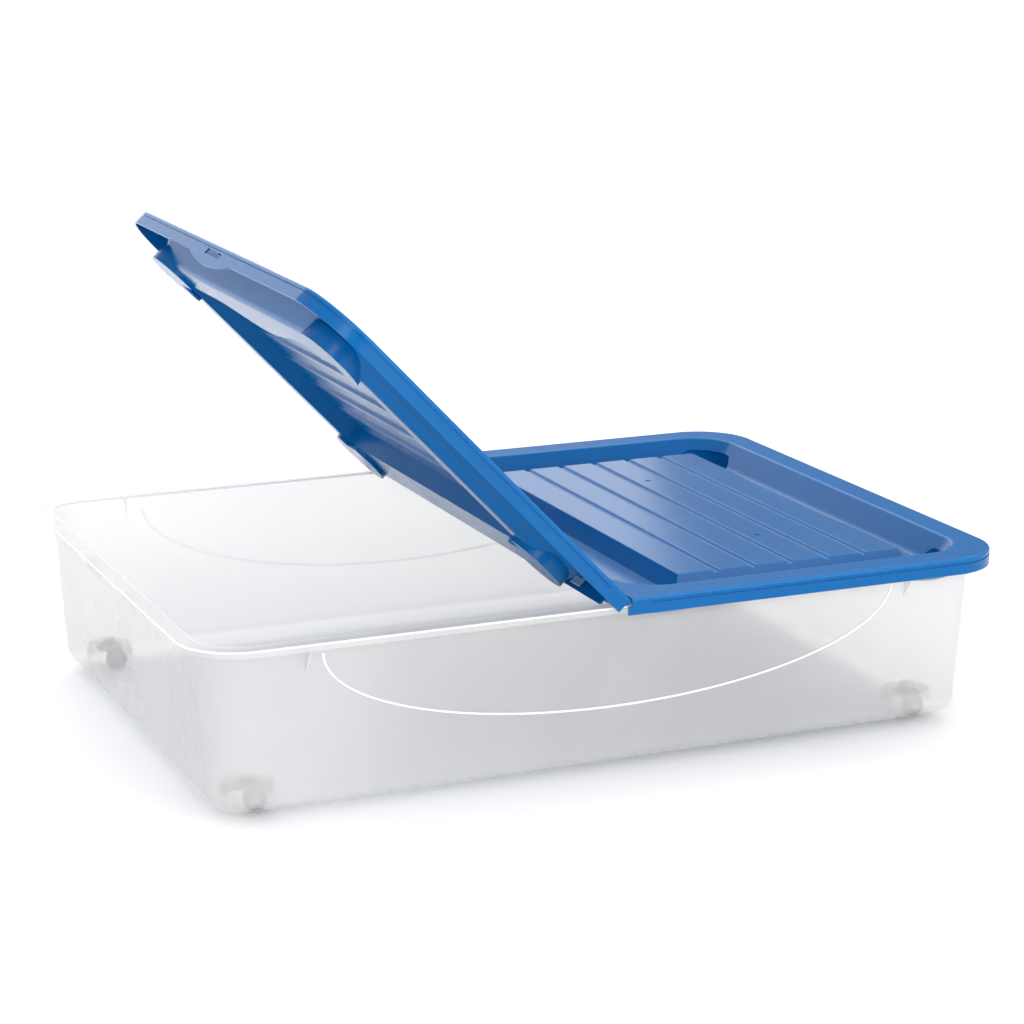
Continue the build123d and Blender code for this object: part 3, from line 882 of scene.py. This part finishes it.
def plastic(name, dark, light, rough, edge_highlight, grain_scale, grain_height, constants, cover=None):
    """A moulded plastic: colour and gloss drift with the flow clouds, and the rounded and raised
    edges are painted lighter as a highlight.

    The argument after rough is the lighter colour painted on the edges as a highlight, and its
    strength. cover is how much a clear plastic hides at its thin and its milky places, and what its
    edges add to that."""
    made = bpy.data.materials.new(name)
    made.use_nodes = True
    nodes, links = made.node_tree.nodes, made.node_tree.links
    shader = nodes["Principled BSDF"]
    for socket, value in constants.items():
        shader.inputs[socket].default_value = value
    surface = nodes.new("ShaderNodeGroup")
    surface.node_tree = surface_group
    surface.inputs["Grain Scale"].default_value = grain_scale
    edge = nodes.new("ShaderNodeGroup")
    edge.node_tree = edge_group
    drift = nodes.new("ShaderNodeMix")
    drift.data_type = "RGBA"
    drift.inputs["A"].default_value = (*dark, 1)
    drift.inputs["B"].default_value = (*light, 1)
    links.new(surface.outputs["Cloud"], drift.inputs["Factor"])
    # Painted highlight: rounded and raised edges are mixed towards a lighter colour.
    painted_highlight = nodes.new("ShaderNodeMix")
    painted_highlight.data_type = "RGBA"
    highlight_colour, highlight_strength = edge_highlight
    painted_highlight.inputs["B"].default_value = (*highlight_colour, 1)
    edge.inputs["Amount"].default_value = highlight_strength
    links.new(edge.outputs["Edge"], painted_highlight.inputs["Factor"])
    links.new(drift.outputs["Result"], painted_highlight.inputs["A"])
    links.new(painted_highlight.outputs["Result"], shader.inputs["Base Color"])
    gloss = nodes.new("ShaderNodeMapRange")
    gloss.inputs["To Min"].default_value = rough[0]
    gloss.inputs["To Max"].default_value = rough[1]
    links.new(surface.outputs["Cloud"], gloss.inputs["Value"])
    dull = nodes.new("ShaderNodeMath")
    dull.operation = "MULTIPLY_ADD"
    dull.inputs[1].default_value = scuff_roughness
    links.new(surface.outputs["Scuff"], dull.inputs[0])
    links.new(gloss.outputs["Result"], dull.inputs[2])
    matt = nodes.new("ShaderNodeAttribute")
    matt.attribute_name = "grained"
    grained = nodes.new("ShaderNodeMath")
    grained.operation = "MULTIPLY_ADD"
    grained.inputs[1].default_value = grained_roughness
    links.new(matt.outputs["Fac"], grained.inputs[0])
    links.new(dull.outputs["Value"], grained.inputs[2])
    links.new(grained.outputs["Value"], shader.inputs["Roughness"])
    bump = nodes.new("ShaderNodeBump")
    bump.inputs["Strength"].default_value = 1.0
    bump.inputs["Distance"].default_value = grain_height
    lift = nodes.new("ShaderNodeMapRange")
    lift.inputs["To Min"].default_value = 1.0
    lift.inputs["To Max"].default_value = grained_height
    links.new(matt.outputs["Fac"], lift.inputs["Value"])
    coarse = nodes.new("ShaderNodeMath")
    coarse.operation = "MULTIPLY"
    links.new(surface.outputs["Grain"], coarse.inputs[0])
    links.new(lift.outputs["Result"], coarse.inputs[1])
    links.new(coarse.outputs["Value"], bump.inputs["Height"])
    links.new(bump.outputs["Normal"], shader.inputs["Normal"])
    if cover:
        thin, milky, along_edge = cover
        haze = nodes.new("ShaderNodeMapRange")
        haze.inputs["To Min"].default_value = thin
        haze.inputs["To Max"].default_value = milky
        links.new(surface.outputs["Cloud"], haze.inputs["Value"])
        shape = nodes.new("ShaderNodeNewGeometry")
        once = nodes.new("ShaderNodeMath")
        once.operation = "SUBTRACT"
        once.use_clamp = True
        links.new(haze.outputs["Result"], once.inputs[0])
        links.new(shape.outputs["Backfacing"], once.inputs[1])
        thick = nodes.new("ShaderNodeMath")
        thick.operation = "MULTIPLY_ADD"
        thick.use_clamp = True
        thick.inputs[1].default_value = along_edge
        links.new(edge.outputs["Edge"], thick.inputs[0])
        links.new(once.outputs["Value"], thick.inputs[2])
        links.new(thick.outputs["Value"], shader.inputs["Alpha"])
    return made


def finishes():
    tub_look = {"IOR": 1.45, "Specular IOR Level": 0.5}
    lid_look = {"IOR": 1.49, "Specular IOR Level": 0.2, "Subsurface Weight": 0.35,
                "Subsurface Scale": 0.004, "Subsurface Radius": (0.15, 0.7, 1.0)}
    # The edge colour given with each plastic is lighter than that plastic: a painted highlight on
    # its rounded and raised edges.
    return {
        "tub_plastic": plastic(
            "clear_polypropylene", dark=(0.68, 0.68, 0.675), light=(0.76, 0.76, 0.755),
            rough=(0.20, 0.26), edge_highlight=((1.0, 1.0, 1.0), 0.95), grain_scale=400.0,
            grain_height=0.00002, constants=tub_look, cover=(0.38, 0.46, 0.42)),
        "lid_plastic": plastic(
            "blue_polypropylene", dark=(0.0003, 0.098, 0.31), light=(0.001, 0.122, 0.365),
            rough=(0.16, 0.24), edge_highlight=((0.01, 0.20, 0.52), 0.35), grain_scale=700.0,
            grain_height=0.00003, constants=lid_look),
        "caster_plastic": plastic(
            "grey_nylon", dark=(0.10, 0.10, 0.105), light=(0.14, 0.14, 0.145),
            rough=(0.38, 0.5), edge_highlight=((0.22, 0.22, 0.23), 0.6), grain_scale=1600.0,
            grain_height=0.00003, constants={"IOR": 1.5}),
        "wheel_plastic": plastic(
            "black_rubber", dark=(0.012, 0.012, 0.013), light=(0.022, 0.022, 0.023),
            rough=(0.5, 0.65), edge_highlight=((0.05, 0.05, 0.05), 0.5), grain_scale=1800.0,
            grain_height=0.00004, constants={"IOR": 1.5}),
        "caster_steel": plastic(
            "zinced_steel", dark=(0.55, 0.56, 0.58), light=(0.68, 0.69, 0.70),
            rough=(0.22, 0.36), edge_highlight=((0.8, 0.8, 0.8), 0.6), grain_scale=2200.0,
            grain_height=0.00002, constants={"Metallic": 1.0}),
    }


# ==== Studio =============================================================================
floor_half = 30.0
floor_colour = (0.98, 0.98, 0.98, 1)
horizon_strength = 0.25
zenith_strength = 0.95
zenith_starts = 0.7          # how far up the sky is as bright as overhead
backdrop_strength = 1.05     # what the camera itself sees behind the floor
sky_light_power = 0.7
sky_light_spread = math.radians(60)
sky_light_turn = (math.radians(-28), math.radians(18), 0)
softboxes = (                # name, place, aim, side, power
    ("back_softbox", (0.2, 2.3, 0.75), (0.1, 0.0, 0.2), 2.2, 20.0),
    ("front_softbox", (-1.7, -2.9, 1.3), (0.0, 0.0, 0.1), 1.8, 42.0),
    ("right_softbox", (1.2, -3.0, 1.2), (0.1, 0.0, 0.1), 1.8, 38.0),
)
sensor_width = 36.0
focal_length = 97.27
camera_place = (-1.0138, -2.3608, 0.8382)
camera_turn = (75.642, -0.114, -23.507)      # degrees


def studio():
    bm = bmesh.new()
    bmesh.ops.create_grid(bm, x_segments=1, y_segments=1, size=floor_half)
    floor = as_object(bm, "studio_floor")
    paper = bpy.data.materials.new("pale_paper")
    paper.use_nodes = True
    sheet = paper.node_tree.nodes["Principled BSDF"]
    sheet.inputs["Base Color"].default_value = floor_colour
    sheet.inputs["Roughness"].default_value = 0.9
    sheet.inputs["Specular IOR Level"].default_value = 0.1
    floor.data.materials.append(paper)

    sky = bpy.data.worlds.new("studio")
    sky.use_nodes = True
    nodes, links = sky.node_tree.nodes, sky.node_tree.links
    look = nodes.new("ShaderNodeTexCoord")
    split = nodes.new("ShaderNodeSeparateXYZ")
    links.new(look.outputs["Generated"], split.inputs["Vector"])
    fall = nodes.new("ShaderNodeMapRange")
    fall.interpolation_type = "SMOOTHSTEP"
    fall.inputs["From Max"].default_value = zenith_starts
    fall.inputs["To Min"].default_value = horizon_strength
    fall.inputs["To Max"].default_value = zenith_strength
    links.new(split.outputs["Z"], fall.inputs["Value"])
    path = nodes.new("ShaderNodeLightPath")
    seen = nodes.new("ShaderNodeMix")
    seen.inputs["B"].default_value = backdrop_strength
    links.new(path.outputs["Is Camera Ray"], seen.inputs["Factor"])
    links.new(fall.outputs["Result"], seen.inputs["A"])
    links.new(seen.outputs["Result"], nodes["Background"].inputs["Strength"])
    nodes["Background"].inputs["Color"].default_value = (1.0, 1.0, 1.0, 1)
    bpy.context.scene.world = sky
    bpy.context.scene.view_settings.view_transform = "Standard"

    sun = bpy.data.lights.new("wide_soft_light", "SUN")
    sun.energy = sky_light_power
    sun.angle = sky_light_spread
    high = bpy.data.objects.new("wide_soft_light", sun)
    high.rotation_euler = sky_light_turn
    bpy.context.scene.collection.objects.link(high)

    for name, place, aim, side, power in softboxes:
        light = bpy.data.lights.new(name, "AREA")
        light.shape = "SQUARE"
        light.size = side
        light.energy = power
        lamp = bpy.data.objects.new(name, light)
        lamp.location = place
        lamp.rotation_euler = (Vector(aim) - Vector(place)).to_track_quat("-Z", "Y").to_euler()
        bpy.context.scene.collection.objects.link(lamp)


def camera():
    lens = bpy.data.cameras.new("camera")
    lens.sensor_width = sensor_width
    lens.lens = focal_length
    lens.clip_start = 0.05
    lens.clip_end = 100.0
    made = bpy.data.objects.new("camera", lens)
    made.location = camera_place
    made.rotation_euler = [math.radians(angle) for angle in camera_turn]
    bpy.context.scene.collection.objects.link(made)
    bpy.context.scene.camera = made


def main():
    studio()
    camera()
    looks = finishes()
    finish_piece(tub(), "tub", looks["tub_plastic"], ["tub"],
                 narrow_face=1.9, marked_above=boss_top)
    half = lid_half()
    closed = lid_right(half)
    raised = lid_left(half)
    closed.name = "lid_closed_half"
    raised.name = "lid_raised_half"
    finish_piece(closed, "lid_right", looks["lid_plastic"], ["lid_right"])
    finish_piece(raised, "lid_left", looks["lid_plastic"], ["lid_left"])
    casters(looks)


main()
